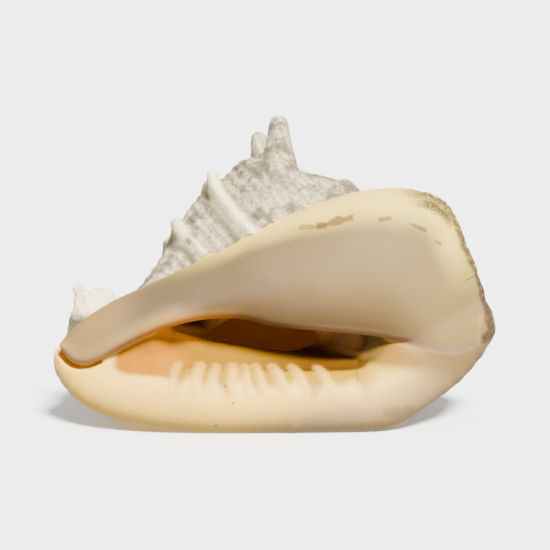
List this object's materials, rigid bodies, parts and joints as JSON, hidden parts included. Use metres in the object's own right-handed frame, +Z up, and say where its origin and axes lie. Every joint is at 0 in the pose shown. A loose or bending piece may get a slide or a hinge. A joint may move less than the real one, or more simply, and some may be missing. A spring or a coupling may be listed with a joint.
{
  "type": "horned helmet conch shell",
  "caption": "Heavy sea shell with a broad glazed shield, a toothed rolled lip, a deep mouth and blunt horns on its back, lying on its lip as a table ornament.",
  "frame": {"origin": "on the ground, under the middle of the shell's box", "axes": "+X from the siphon end to the spire end, +Y from the mouth to the back, +Z up as the shell lies on its lip"},
  "size_m": [0.257, 0.1592, 0.1783],
  "materials": {
    "shell": "glazed cream and beige shield and lip, orange throat, chalky weathered back"
  },
  "bodies": {
    "root": {"shell": "shell"}
  },
  "joints": []
}
